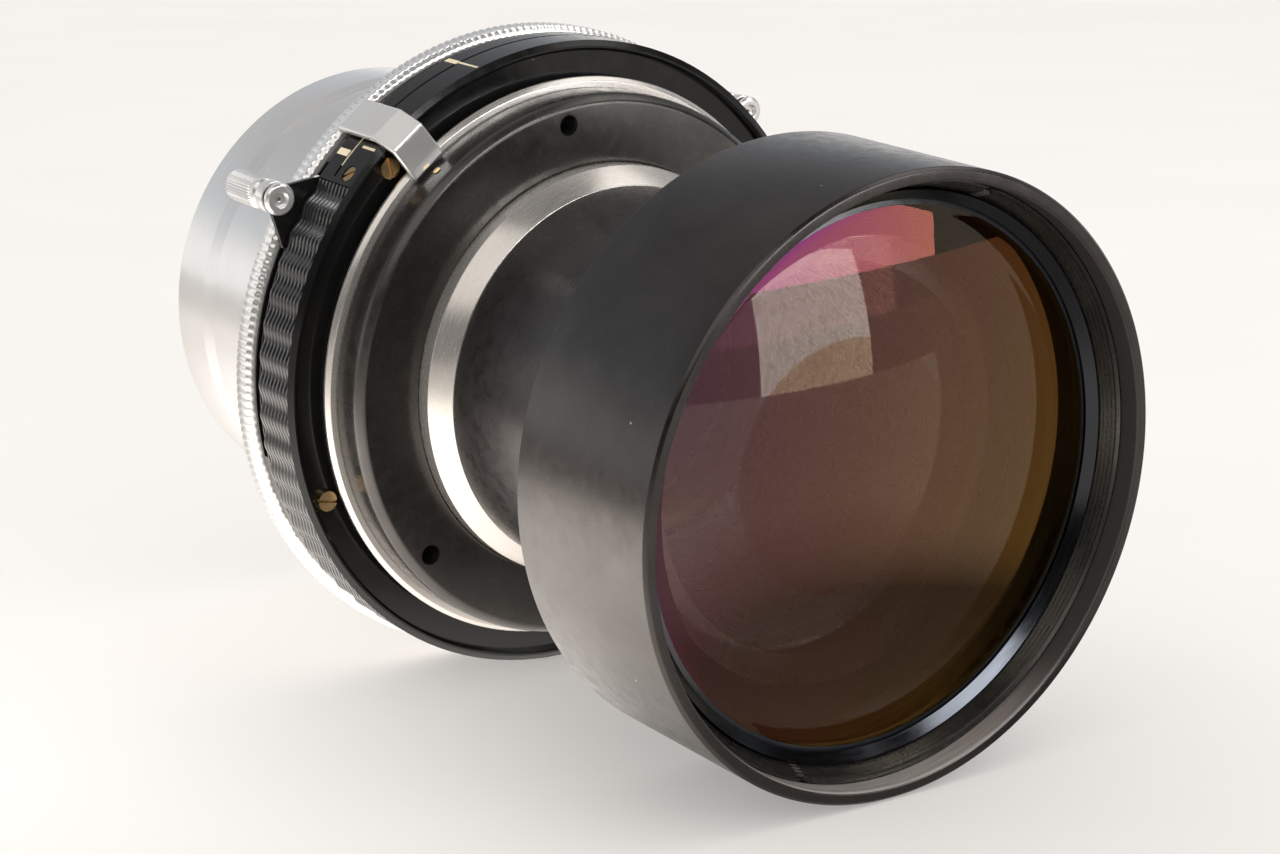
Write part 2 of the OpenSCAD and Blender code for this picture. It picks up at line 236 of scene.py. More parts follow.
def turned_place(tree, spread):
    """Radius, distance along the axis and a slow angle: a pattern in them runs round like turning marks."""
    x, y, z = split_xyz(tree, place_mm(tree))
    square_x = maths(tree, "MULTIPLY", x, x)
    square_z = maths(tree, "MULTIPLY", z, z)
    radius = maths(tree, "SQRT", maths(tree, "ADD", square_x, square_z))
    angle = maths(tree, "ARCTAN2", x, z)
    joined = add(tree, "ShaderNodeCombineXYZ")
    tree.links.new(radius, joined.inputs[0])
    tree.links.new(y, joined.inputs[1])
    tree.links.new(maths(tree, "MULTIPLY", angle, spread), joined.inputs[2])
    return joined.outputs[0]


def noise(tree, place, scale, detail=3.0, rough=0.5):
    """A 0 to 1 noise at a place."""
    made = add(tree, "ShaderNodeTexNoise", Scale=scale, Detail=detail, Roughness=rough)
    tree.links.new(place, made.inputs["Vector"])
    return made.outputs["Fac"]


def ramp(tree, value, stops):
    """Colour ramp from (position, colour or grey) stops; gives the colour output."""
    made = add(tree, "ShaderNodeValToRGB")
    elements = made.color_ramp.elements
    for i, (at, colour) in enumerate(stops):
        element = elements[i] if i < 2 else elements.new(at)
        element.position = at
        shade = (colour, colour, colour) if isinstance(colour, (int, float)) else colour
        element.color = (*shade, 1)
    tree.links.new(value, made.inputs[0])
    return made.outputs[0]


def remap(tree, value, low, high):
    """Spreads the middle of a noise, where most of its values are, from low to high."""
    made = add(tree, "ShaderNodeMapRange")
    made.inputs["To Min"].default_value = low
    made.inputs["To Max"].default_value = high
    made.inputs["From Min"].default_value = 0.3
    made.inputs["From Max"].default_value = 0.7
    tree.links.new(value, made.inputs["Value"])
    return made.outputs[0]


def blend_colour(tree, factor, a, b):
    """Mixes two colours, each a value or a socket."""
    made = add(tree, "ShaderNodeMix", data_type="RGBA")
    for socket, value in ((made.inputs[0], factor), (made.inputs[6], a), (made.inputs[7], b)):
        if isinstance(value, tuple):
            socket.default_value = (*value, 1)
        elif isinstance(value, (int, float)):
            socket.default_value = value
        else:
            tree.links.new(value, socket)
    return made.outputs[2]


def bump(tree, shader, height, depth_mm, strength=1.0):
    """Adds relief of about depth_mm to a shader, on top of any it has."""
    made = add(tree, "ShaderNodeBump", Strength=strength, Distance=depth_mm * MM)
    tree.links.new(height, made.inputs["Height"])
    if shader.inputs["Normal"].is_linked:
        tree.links.new(shader.inputs["Normal"].links[0].from_socket, made.inputs["Normal"])
    tree.links.new(made.outputs[0], shader.inputs["Normal"])


def turning_lines(tree, shader, depth_mm):
    """Relief of fine lines round the axis."""
    bump(tree, shader, noise(tree, turned_place(tree, 0.4), 9.0, 2.0), depth_mm)


def new_material(name, colour, rough, metallic=0.0, specular=0.5):
    """A plain material, its node tree and its shader."""
    material = bpy.data.materials.new(name)
    material.use_nodes = True
    shader = material.node_tree.nodes["Principled BSDF"]
    shader.inputs["Base Color"].default_value = (*colour, 1)
    shader.inputs["Roughness"].default_value = rough
    shader.inputs["Metallic"].default_value = metallic
    shader.inputs["Specular IOR Level"].default_value = specular
    return material, material.node_tree, shader


def specks(tree, scale, size):
    """Sparse small dots of dust, in about a quarter of the cells: 1 on a dot, 0 elsewhere."""
    cells = add(tree, "ShaderNodeTexVoronoi", Scale=scale, Randomness=1.0)
    tree.links.new(place_mm(tree), cells.inputs["Vector"])
    near = maths(tree, "LESS_THAN", cells.outputs["Distance"], size)
    split = add(tree, "ShaderNodeSeparateColor")
    tree.links.new(cells.outputs["Color"], split.inputs[0])
    chosen = maths(tree, "GREATER_THAN", split.outputs[0], 0.72)
    return maths(tree, "MULTIPLY", near, chosen)


def black_finish(name, colour, rough, grain, specular=0.5, dust=0.0, turned=0.0, metallic=0.0):
    """Black metal or paint: fine grain and uneven gloss, with dust specks and turning lines if asked for."""
    material, tree, shader = new_material(name, colour, rough, metallic, specular)
    place = place_mm(tree)
    cloud = remap(tree, noise(tree, place, 0.09, 4.0), 0.0, 1.0)
    tone = blend_colour(tree, cloud, colour, tuple(c * 1.35 for c in colour))
    if dust:
        dots = maths(tree, "MULTIPLY", specks(tree, 0.3, 0.045), dust)
        tone = blend_colour(tree, dots, tone, (0.62, 0.58, 0.52))
    tree.links.new(tone, shader.inputs["Base Color"])
    gloss = remap(tree, noise(tree, place, 0.5, 5.0), rough - 0.05, rough + 0.06)
    tree.links.new(gloss, shader.inputs["Roughness"])
    bump(tree, shader, noise(tree, place, 5.0, 2.0), grain)
    if turned:
        turning_lines(tree, shader, turned)
    return material


def bright_metal(name, colour, rough, lines, spread=1.5, tint=0.08, stain=0.0, metallic=1.0):
    """Turned metal: fine lines round the axis, soft clouds in the gloss and a little staining."""
    material, tree, shader = new_material(name, colour, rough, metallic)
    around = turned_place(tree, spread)
    place = place_mm(tree)
    cloud = remap(tree, noise(tree, place, 0.12, 5.0), 0.0, 1.0)
    tone = blend_colour(tree, cloud, colour, tuple(c * (1 - tint) for c in colour))
    if stain:
        mark = ramp(tree, noise(tree, place, 0.35, 6.0, 0.65), [(0.6, 0.0), (0.72, 1.0)])
        amount = maths(tree, "MULTIPLY", mark, stain)
        tone = blend_colour(tree, amount, tone, tuple(c * 0.55 for c in colour))
    tree.links.new(tone, shader.inputs["Base Color"])
    streak = noise(tree, around, 6.0, 4.0, 0.6)
    tree.links.new(remap(tree, streak, rough - 0.06, rough + 0.08), shader.inputs["Roughness"])
    bump(tree, shader, noise(tree, around, 14.0, 3.0, 0.6), lines)
    return material


def grooved_black(name):
    """Black enamel of the grip, with its edges rubbed a little."""
    black = (0.012, 0.012, 0.013)
    rubbed = (0.11, 0.105, 0.1)
    material, tree, shader = new_material(name, black, 0.2, 0.0, 1.0)
    worn = add(tree, "ShaderNodeNewGeometry").outputs["Pointiness"]
    edge = ramp(tree, worn, [(0.5, 0.0), (0.62, 1.0)])
    tone = blend_colour(tree, maths(tree, "MULTIPLY", edge, 0.4), black, rubbed)
    tree.links.new(tone, shader.inputs["Base Color"])
    place = place_mm(tree)
    tree.links.new(remap(tree, noise(tree, place, 0.6, 4.0), 0.16, 0.26), shader.inputs["Roughness"])
    bump(tree, shader, noise(tree, place, 6.0, 2.0), 0.01)
    return material


def painted_highlight_wall(name, dark, light, low, high):
    """Black wall of the rim's recess with a painted highlight in brushed streaks: lighter from high mm down,
    and fully from low mm.
    """
    material, tree, shader = new_material(name, dark, 0.38)
    # Painted highlight: the wall's colour turns lighter towards the bottom.
    painted_highlight = add(tree, "ShaderNodeMapRange", interpolation_type="SMOOTHSTEP")
    painted_highlight.inputs["From Min"].default_value = high
    painted_highlight.inputs["From Max"].default_value = low
    tree.links.new(split_xyz(tree, place_mm(tree))[2], painted_highlight.inputs["Value"])
    streak = noise(tree, turned_place(tree, 3.0), 1.5, 4.0, 0.6)
    amount = maths(tree, "MULTIPLY", painted_highlight.outputs[0], remap(tree, streak, 0.55, 1.0))
    tree.links.new(blend_colour(tree, amount, dark, light), shader.inputs["Base Color"])
    turning_lines(tree, shader, 0.003)
    return material


def coated(name, film):
    """A lens surface with an anti-reflection film, film nm thick, and a few specks of dust on it."""
    material, tree, shader = new_material(name, GLASS_TINT, 0.0)
    shader.inputs["Transmission Weight"].default_value = 1.0
    shader.inputs["IOR"].default_value = GLASS_IOR
    shader.inputs["Thin Film Thickness"].default_value = film
    shader.inputs["Thin Film IOR"].default_value = FILM_IOR
    dirt = add(tree, "ShaderNodeBsdfDiffuse", Color=(0.6, 0.55, 0.5, 1))
    mixed = add(tree, "ShaderNodeMixShader")
    marks = maths(tree, "MULTIPLY", specks(tree, 0.13, 0.022), 0.5)
    tree.links.new(marks, mixed.inputs[0])
    tree.links.new(shader.outputs[0], mixed.inputs[1])
    tree.links.new(dirt.outputs[0], mixed.inputs[2])
    tree.links.new(mixed.outputs[0], tree.nodes["Material Output"].inputs["Surface"])
    return material


def glowing(name, colour, strength):
    """A light card of the studio."""
    material = bpy.data.materials.new(name)
    material.use_nodes = True
    tree = material.node_tree
    tree.nodes.remove(tree.nodes["Principled BSDF"])
    glow = add(tree, "ShaderNodeEmission", Color=(*colour, 1), Strength=strength)
    tree.links.new(glow.outputs[0], tree.nodes["Material Output"].inputs["Surface"])
    return material


# The rim's recess wall carries a painted highlight, lighter towards the bottom.
rim_wall_painted_highlight = painted_highlight_wall("rim wall with painted highlight", (0.045, 0.041, 0.039), (0.36, 0.33, 0.31), -41.0, -27.0)
satin_black = black_finish("satin black barrel", (0.07, 0.064, 0.061), 0.24, 0.012, dust=0.8, metallic=0.95)
neck_black = black_finish("satin black neck", (0.08, 0.073, 0.072), 0.28, 0.008, dust=0.15, metallic=0.85)
matte_black = black_finish("matte black rings", (0.075, 0.07, 0.066), 0.26, 0.004,
                           dust=0.2, turned=0.002, metallic=0.85)
flange_black = black_finish("black flange", (0.075, 0.07, 0.066), 0.26, 0.004,
                            dust=0.2, turned=0.002, metallic=0.8)
inner_black = black_finish("blackened inside", (0.003, 0.003, 0.003), 0.6, 0.01, specular=0.05)
enamel = black_finish("black enamel", (0.007, 0.0068, 0.0066), 0.16, 0.003, specular=0.4, dust=0.3)
grip_black = grooved_black("grip enamel")
aluminium = bright_metal("bright aluminium", (0.87, 0.86, 0.85), 0.2, 0.0012,
                         spread=1.2, tint=0.04, stain=0.08, metallic=0.75)
tube_metal = bright_metal("turned mounting tube", (0.76, 0.72, 0.675), 0.22, 0.0012,
                          spread=2.0, tint=0.08, stain=0.1, metallic=0.75)
chrome = bright_metal("satin chrome", (0.94, 0.925, 0.905), 0.16, 0.0015,
                      spread=2.0, tint=0.05, stain=0.1, metallic=0.7)
brass = bright_metal("brass", (0.72, 0.5, 0.25), 0.3, 0.004, spread=2.0, tint=0.3, stain=0.4)
steel = bright_metal("steel", (0.55, 0.55, 0.55), 0.32, 0.004, spread=2.0, tint=0.1, stain=0.2)
blued = bright_metal("blued steel", (0.09, 0.09, 0.11), 0.35, 0.004, spread=2.0, tint=0.2, stain=0.2)
paint = black_finish("cream scale paint", (0.72, 0.62, 0.44), 0.5, 0.01, specular=0.3)
lip_metal = bright_metal("bare lip of the ring", (0.075, 0.079, 0.088), 0.16, 0.0004, spread=1.5, tint=0.1)
ground_edge = black_finish("ground glass edge", (0.02, 0.021, 0.026), 0.18, 0.004, specular=1.0)

SLOT_FINISH = {
    "satin_black": satin_black, "matte_black": inner_black, "black_metal": flange_black,
    "bright_aluminium": aluminium, "satin_chrome": chrome, "brass": brass, "steel": steel,
    "blued_steel": blued, "black_enamel": enamel,
}


# ---------------------------------------------------------------- rear group

def rear_barrel():
    """Wide black barrel: plain rim with a fine chamfer on both edges, and a painted highlight low on the wall
    inside it.
    """
    back, front, r = reach("rear_barrel")
    rim = reach("rear_retaining_ring")[2] + 0.05
    recess = reach("rear_retaining_ring")[0]
    neck = reach("neck_element")[2] + 3.35
    wall = 3.0
    outline = [(rim + 0.3, back), (r - 0.45, back), (r, back + 0.45), (r, front - 0.6), (r - 0.6, front),
               (neck, front), (neck, front - wall), (rim, front - wall), (rim, recess), (rim, back + 0.3)]
    finishes = [satin_black, rim_wall_painted_highlight]
    piece = lathe("rear_barrel_finished", soften(outline, SOFT), finishes, "lens",
                  AROUND_BARREL)
    # Faces of the rim's recess wall take the finish with the painted highlight.
    for face in piece.data.polygons:
        centre = face.center / MM
        if centre.y < recess + 0.2 and math.hypot(centre.x, centre.z) < rim + 0.2:
            face.material_index = 1
    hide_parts("rear_barrel")


def retaining_ring():
    """Ring with two spanner slots, a cone down to the glass and a bare lip at its foot.

    The outline runs along the cone twice, so a plain cone stands over the grooves between its ribs.
    """
    back, front, r = reach("rear_retaining_ring")
    cone_back = 39.8
    cone_front = 38.5
    ribs = 6
    rib_depth = 0.42
    slots_at = (11, 191)
    slot_half_width = 0.7
    slot_depth = 0.9
    outline = [(cone_back + 0.5, back), (r - 0.15, back), (r, back + 0.15), (r, front), (cone_front, front)]
    for i in range(4 * ribs):
        t = 1 - (i + 1) / (4 * ribs + 1)
        lift = rib_depth if i % 4 in (1, 2) else 0.0
        outline.append((cone_front + (cone_back - cone_front) * t + lift, front + (back + 0.3 - front) * t))

    def slotted(radius, y, angle):
        for at in slots_at:
            off = math.radians((angle - at - DATUM + 180) % 360 - 180) * radius
            if abs(off) < slot_half_width and radius > cone_back - 0.2:
                return radius, max(y, back + slot_depth)
        return radius, y

    piece = lathe("rear_retaining_ring_ribbed", outline[::-1], matte_black, "lens",
                  AROUND_SLOTTED, slotted, sharp=30)
    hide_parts("rear_retaining_ring")
    lip = [(cone_front - 1.2, front - 0.3), (cone_front + 0.1, front - 1.4), (cone_front + 0.1, front - 0.1)]
    lathe("retaining_lip", lip, lip_metal, "lens", AROUND_BARREL)


def arched(r, y_rim, sag, steps=40):
    """Points of a shallow lens surface from its middle to its rim."""
    ball = (r * r + sag * sag) / (2 * abs(sag))
    side = math.copysign(1, sag)
    out = []
    for i in range(steps + 1):
        q = r * i / steps
        out.append((q, y_rim + side * (math.sqrt(ball * ball - q * q) - (ball - abs(sag)))))
    return out


def turned_solid(outline, around):
    """Points and faces of a solid whose outline starts and ends on the axis."""
    verts = [(0, outline[0][1], 0)]
    for j in range(around):
        verts += [tuple(polar(r, 360 * j / around, y)) for r, y in outline[1:-1]]
    verts.append((0, outline[-1][1], 0))
    count = len(outline) - 2
    faces = []
    for j in range(around):
        here = 1 + j * count
        after = 1 + ((j + 1) % around) * count
        faces.append((0, here, after))
        for i in range(count - 1):
            faces.append((here + i, here + i + 1, after + i + 1, after + i))
        faces.append((here + count - 1, len(verts) - 1, after + count - 1))
    return verts, faces


def glass(node, r_back, r_front, sag_back, sag_front, film_back, film_front, bevel=0.0):
    """Element with two smooth coated surfaces, a blackened edge and, with a bevel in mm, a ground rear rim.

    A sag is how far a surface's middle stands from its rim, positive forwards. A film is its thickness in nm.
    """
    low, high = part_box(node)
    edge = reach(node)[2]
    y_back = low.y / MM - min(sag_back, 0)
    y_front = high.y / MM - max(sag_front, 0)
    back = arched(r_back, y_back, sag_back)
    front = arched(r_front, y_front, sag_front)
    if bevel:
        back = [p for p in back if p[0] < r_back - bevel]
        rim = [(r_back, y_back + 0.9 * bevel), (edge, y_back + bevel)]
    else:
        rim = [(edge - 0.2, y_back), (edge, y_back + 0.2)]
    rim += [(edge, y_front - 0.2), (edge - 0.2, y_front)]
    verts, faces = turned_solid(back + rim + front[::-1], AROUND_GLASS)
    back_film = coated(node + " back", film_back)
    front_film = coated(node + " front", film_front)
    finishes = [back_film, front_film, inner_black, ground_edge]
    piece = finish_mesh(node + "_polished", verts, faces, finishes, "lens")
    middle = (y_back + y_front) / 2 * MM
    for face in piece.data.polygons:
        centre = face.center
        far = math.hypot(centre.x, centre.z) / MM
        at_back = centre.y < middle
        polished = min(r_back if at_back else r_front, edge - 0.4) + 0.1
        if far > polished:
            face.material_index = 2
        elif bevel and at_back and far > back[-1][0] + 0.01:
            face.material_index = 3
        else:
            face.material_index = 0 if at_back else 1
    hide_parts(node)


# ---------------------------------------------------------------- flange and shutter rim

def mounting_tube():
    """Bright tube that passes through the lens board, with a wide chamfer at its rear end."""
    back, front, r = reach("thread_tube")
    bore = 28.0
    outline = [(bore, back), (r - 2.45, back), (r, back + 2.85), (r, front), (bore, front)]
    piece = lathe("thread_tube_turned", soften(outline, SOFT), tube_metal, "lens")
    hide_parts("thread_tube")


def drill(piece, radius, at, depth=10):
    """Cuts a hole along Y, radius and depth in mm, through a piece."""
    mesh = bpy.data.meshes.new("drill")
    bm = bmesh.new()
    bmesh.ops.create_cone(bm, cap_ends=True, segments=40,
                          radius1=radius * MM, radius2=radius * MM, depth=depth * MM)
    bmesh.ops.rotate(bm, verts=bm.verts, matrix=Matrix.Rotation(math.radians(90), 3, "X"))
    bmesh.ops.translate(bm, verts=bm.verts, vec=at * MM)
    bm.to_mesh(mesh)
    bm.free()
    cutter = bpy.data.objects.new("drill", mesh)
    bpy.context.scene.collection.objects.link(cutter)
    cut = piece.modifiers.new("hole", "BOOLEAN")
    cut.operation = "DIFFERENCE"
    cut.solver = "EXACT"
    cut.object = cutter
    bpy.context.view_layer.objects.active = piece
    bpy.ops.object.modifier_apply(modifier=cut.name)
    bpy.data.objects.remove(cutter)


def flange():
    """Mounting flange with a rounded shoulder and three drilled screw holes."""
    back, front, r = reach("mounting_flange")
    bore = reach("thread_tube")[2] + 0.05
    hub = 38.4
    foot = reach("aperture_ring")[0] - 0.12
    screw_circle = 37.5
    screw_hole = 1.5
    outline = [(bore, back), (r - 1.1, back), (r - 0.15, back + 1.0), (r, foot),
               (hub, foot), (hub, front), (bore, front)]
    piece = lathe("mounting_flange_turned", soften(outline, 0.45), flange_black, "lens")
    for at in (-138, -18, 102):
        drill(piece, screw_hole, polar(screw_circle, at + DATUM, 0))
    piece.data.set_sharp_from_angle(angle=math.radians(CRISP))
    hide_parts("mounting_flange")


def aperture_ring():
    """Bright ring at the foot of the flange, chamfered at its rear edge."""
    back, front, r = reach("aperture_ring")
    bore = 38.55
    outline = [(bore, back), (r - 0.6, back), (r, back + 0.55), (r, front), (bore, front)]
    piece = lathe("aperture_ring_turned", soften(outline, 0.1), tube_metal, "aperture")
    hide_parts("aperture_ring")


def aperture_lever():
    """Bent chrome tab with crisp bevels along its edges."""
    ring_back = reach("aperture_ring")[0]
    foot = 41.4
    outside = 49.35
    inside = 48.15
    tip = 18.45
    half_width = 3.0
    outline = [(foot, ring_back - 1.1), (47.3, ring_back - 1.1), (outside, 8.6), (outside, tip),
               (inside, tip), (inside, 8.9), (46.6, ring_back), (foot, ring_back)]
    turn = Matrix.Rotation(math.radians(DATUM - DOT_BEFORE_DATUM), 3, "Y")
    verts = [turn @ Vector((side * half_width, y, r)) for side in (-1, 1) for r, y in outline]
    n = len(outline)
    faces = [tuple(range(n)), tuple(range(n, 2 * n))]
    faces += [(i, (i + 1) % n, n + (i + 1) % n, n + i) for i in range(n)]
    piece = finish_mesh("aperture_lever_bevelled", verts, faces, chrome, "aperture", 20)
    bevelled(piece, 0.42)
    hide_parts("aperture_lever")


def grip_band():
    """Scalloped band with fine grooves that run round it."""
    back, front, _ = reach("grip_band")
    crest = 47.72
    root = 47.0
    scallop_depth = 0.5
    groove_depth = 0.25
    grooves = 9
    grip_from = 70
    grip_to = 299.5
    pitch = (front - back) / grooves
    outline = [(root, back), (root, front)]
    for i in range(grooves):
        y = front - pitch * i
        outline += [(crest - groove_depth, y - 0.15), (crest, y - 0.3),
                    (crest, y - pitch + 0.3), (crest - groove_depth, y - pitch + 0.15)]

    def scalloped(r, y, angle):
        if r <= root:
            return r, y
        dip = scallop_depth / 2 * (1 - math.cos(math.radians((angle - DATUM) * SCALLOPS)))
        return max(r - dip, root + 0.02), y

    steps = int((grip_to - grip_from) * SCALLOPS / 360 * 12)
    piece = arc_block("grip_band_scalloped", outline, grip_from + DATUM, grip_to + DATUM, grip_black,
                      "lens", steps, scalloped, 50)
    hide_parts("grip_band")


def scale_mark(name, y0, y1, from_angle, to_angle):
    """A painted mark on the aperture scale's band; its angles are counted from the datum."""
    band = 47.7
    under = band - 0.1
    top = band + 0.03
    outline = [(under, y0), (top, y0), (top, y1), (under, y1)]
    steps = max(2, int(abs(to_angle - from_angle)))
    arc_block(name, outline, from_angle + DATUM, to_angle + DATUM, paint, "lens", steps)


def scale_marks():
    """Painted marks of the aperture scale: a line round the band, ticks and blocks."""
    scale_mark("scale_line", 13.42, 13.56, -57, -50)
    scale_mark("scale_tick_far", 8.7, 12.0, -52.8, -52.3)
    scale_mark("scale_tick_near", 8.6, 13.4, -28.75, -28.25)
    scale_mark("scale_mark_far", 13.9, 16.7, -55.2, -53.9)
    scale_mark("scale_mark_near", 13.7, 16.7, -29.2, -28.1)


def speed_ring():
    """Chrome ring with fine straight knurling between two plain edges."""
    back, front, r = reach("speed_ring")
    bore = 46
    tooth_height = 0.16
    outline = [(bore, back), (r - 0.75, back), (r - 0.45, back + 0.12), (r - 0.3, back + 0.45),
               (r, back + 0.6), (r, front - 0.6), (r - 0.4, front - 0.15), (r - 0.75, front), (bore, front)]

    def knurled(radius, y, angle):
        if radius < r - 0.5:
            return radius, y
        tooth = abs((angle * KNURLS / 360) % 1 - 0.5) * 2
        return radius - tooth_height * tooth, y

    piece = lathe("speed_ring_knurled", outline, chrome, "speed_dial",
                  KNURLS * 4, knurled, sharp=50)
    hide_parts("speed_ring")


def knob(node, body):
    """Turned knob: button behind the arm, collar and necks in front of it, and a knurled grip."""
    low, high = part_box(node)
    x = (low.x + high.x) / 2 / MM
    z = (low.z + high.z) / 2 / MM
    back, front, r = reach(node)
    arm_back = back + 0.85
    arm_front = back + 1.65
    grip = arm_front + 4.1
    button = [(0.3, arm_back - 0.3), (1.0, arm_back - 0.3), (1.1, back + 0.1), (1.2, back),
              (r - 0.35, back), (r, back + 0.35), (r, arm_back), (1.2, arm_back)]
    collar = [(1.2, arm_front), (r, arm_front), (r, arm_front + 1.8)]
    necks = [(1.85, arm_front + 2.2), (1.85, arm_front + 2.8), (r - 0.1, arm_front + 3.0),
             (r - 0.1, arm_front + 3.5), (1.9, arm_front + 3.7), (1.9, grip - 0.2)]
    end = [(r, grip + 0.1), (r, front - 0.6), (r - 0.7, front), (0.3, front - 0.05)]
    outline = soften(button + collar + necks + end, 0.1, 2)

    def knurled(radius, y, angle):
        if y < grip or radius < r - 0.2:
            return radius, y
        return radius - 0.2 * abs((angle * KNOB_KNURLS / 360) % 1 - 0.5) * 2, y

    piece = lathe(node + "_knurled", outline, chrome, body,
                  KNOB_KNURLS * 6, knurled, (x, z), 50)
    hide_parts(node)


# ---------------------------------------------------------------- front group

def front_barrel():
    """Bright satin barrel with a faint swell near its front rim and a stepped bore."""
    _, front, r = reach("front_barrel")
    back = reach("front_plate")[1]
    swell = front - 10.2
    tube = 27.9
    tube_bore = 26
    recess = 33.5
    seat = 32.5
    ledge = 30.3
    chamber = 32
    outside = [(tube_bore, back - 4), (tube, back - 4), (tube, back), (r - 0.35, back),
               (r - 0.35, swell - 1.5), (r, swell + 1.5), (r, front - 0.5), (r - 0.5, front)]
    inside = [(recess, front), (recess, front - 5.3), (seat, front - 5.3), (seat, front - 14.7),
              (ledge, front - 14.7), (ledge, front - 16.7), (chamber, front - 16.7),
              (chamber, back + 3), (tube_bore, back + 3)]
    outline = soften(outside + inside, SOFT)
    piece = lathe("front_barrel_turned", outline, aluminium, "lens", AROUND_BARREL)
    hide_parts("front_barrel")


def front_plate():
    """Flat chrome plate that keeps the speed ring on."""
    back, front, r = reach("front_plate")
    bore = 29.4
    outline = [(bore, back), (r, back), (r, front), (bore, front)]
    piece = lathe("front_plate_turned", soften(outline, 0.3), chrome, "lens")
    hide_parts("front_plate")


# ---------------------------------------------------------------- studio

def floor_up():
    """The floor's upward direction."""
    t = math.radians(FLOOR_TILT)
    return Vector((0, math.sin(t), math.cos(t)))


def card(name, material, at, size, turn):
    """A flat rectangle of the studio, in mm, centred at a point and facing along the third column of turn."""
    half_w = size[0] / 2
    half_h = size[1] / 2
    mesh = bpy.data.meshes.new(name)
    corners = [(-half_w, -half_h, 0), (half_w, -half_h, 0), (half_w, half_h, 0), (-half_w, half_h, 0)]
    mesh.from_pydata([Vector(c) * MM for c in corners], [], [(0, 1, 2, 3)])
    mesh.materials.append(material)
    made = bpy.data.objects.new(name, mesh)
    made.matrix_world = Matrix.Translation(Vector(at) * MM) @ turn
    bpy.context.scene.collection.objects.link(made)
    return made


def lit_table():
    """Glow of the mirrored table: brightest on the lens's left, and shaded close under its rear rim."""
    material = glowing("mirrored table", (1.0, 0.94, 0.88), 1.0)
    tree = material.node_tree
    glow = next(n for n in tree.nodes if n.type == "EMISSION")
    coord = add(tree, "ShaderNodeTexCoord")

    def pool(x, y, radius, strength):
        """A round pool that fades out at its radius. The card's own axes point along -X and -Y."""
        moved = add(tree, "ShaderNodeMapping")
        moved.inputs["Scale"].default_value = (1 / (radius * MM),) * 3
        moved.inputs["Location"].default_value = (x / radius, (y - TABLE_AHEAD) / radius, 0)
        tree.links.new(coord.outputs["Object"], moved.inputs["Vector"])
        ball = add(tree, "ShaderNodeTexGradient", gradient_type="QUADRATIC_SPHERE")
        tree.links.new(moved.outputs[0], ball.inputs["Vector"])
        return maths(tree, "MULTIPLY", ball.outputs["Fac"], strength)

    everywhere = 0.58
    bright = maths(tree, "ADD", pool(-100, 20, 210, 3.3), pool(-120, 230, 200, 0.45))
    bright = maths(tree, "ADD", bright, pool(-160, 95, 95, 2.3))
    shade = maths(tree, "SUBTRACT", 1.0, maths(tree, "MINIMUM", pool(25, -60, 85, 4.0), 0.72))
    light = maths(tree, "MULTIPLY", maths(tree, "ADD", bright, everywhere), shade)
    tree.links.new(light, glow.inputs["Strength"])
    return material


def floor():
    """Pale floor under the whole view. A white table of limited size stands for it in mirrored rays."""
    pale = (0.6, 0.585, 0.565)
    paler = (0.62, 0.605, 0.59)
    material, tree, shader = new_material("pale floor", pale, 0.6, 0.0, 0.1)
    mottle = noise(tree, place_mm(tree), 0.01, 4.0)
    tree.links.new(blend_colour(tree, remap(tree, mottle, 0, 1), pale, paler), shader.inputs["Base Color"])
    shader.inputs["Emission Color"].default_value = (0.95, 0.93, 0.905, 1)
    shader.inputs["Emission Strength"].default_value = 0.3
    up = floor_up()
    turn = up.to_track_quat("Z", "Y").to_matrix().to_4x4()
    at = up * -FLOOR_DROP
    ground = card("floor", material, at, (9000, 9000), turn)
    ground.visible_glossy = False
    ground.visible_transmission = False
    table_at = at + up * -0.02 + Vector((0, TABLE_AHEAD, -TABLE_BELOW))
    table = card("table", lit_table(), table_at, (2400, 2300), turn)
    table.visible_camera = False
    table.visible_diffuse = False
    table.visible_shadow = False


def softbox(name, at, aim, size, strength, colour):
    """A light card seen only in reflections and by what it lights."""
    direction = (Vector(aim) - Vector(at)).normalized()
    turn = direction.to_track_quat("Z", "Y").to_matrix().to_4x4()
    made = card(name, glowing(name, colour, strength), at, size, turn)
    made.visible_camera = False
    return made


def mirrored_card(name, at, aim, size, strength, colour):
    """A softbox that is only mirrored and lights nothing."""
    made = softbox(name, at, aim, size, strength, colour)
    made.visible_diffuse = False


def sky():
    """Even white light for the floor and matt surfaces.

    Mirrored rays see a dark room behind the camera and, ahead, a wall that is white low down and grey above.
    """
    world = bpy.data.worlds.new("studio")
    bpy.context.scene.world = world
    world.use_nodes = True
    tree = world.node_tree
    coord = add(tree, "ShaderNodeTexCoord")
    _, y, z = split_xyz(tree, coord.outputs["Generated"])
    height = add(tree, "ShaderNodeMapRange")
    height.inputs["From Min"].default_value = -0.1
    height.inputs["From Max"].default_value = 1.0
    tree.links.new(z, height.inputs["Value"])
    wall = [(0.0, 1.0), (0.16, (1.0, 0.985, 0.96)), (0.3, (0.5, 0.53, 0.57)),
            (0.64, (0.3, 0.3, 0.31)), (0.8, (0.5, 0.49, 0.48))]
    ahead = ramp(tree, height.outputs[0], wall)
    forwards = maths(tree, "ADD", maths(tree, "MULTIPLY", y, 0.5), 0.5)
    side = ramp(tree, forwards, [(0.38, 0.0), (0.52, 1.0)])
    room = blend_colour(tree, side, (0.03, 0.028, 0.027), ahead)
    path = add(tree, "ShaderNodeLightPath")
    direct = blend_colour(tree, path.outputs["Is Camera Ray"], room, (0.94, 0.93, 0.915))
    colour = blend_colour(tree, path.outputs["Is Diffuse Ray"], direct, (1.05, 1.04, 1.02))
    tree.links.new(colour, tree.nodes["Background"].inputs["Color"])


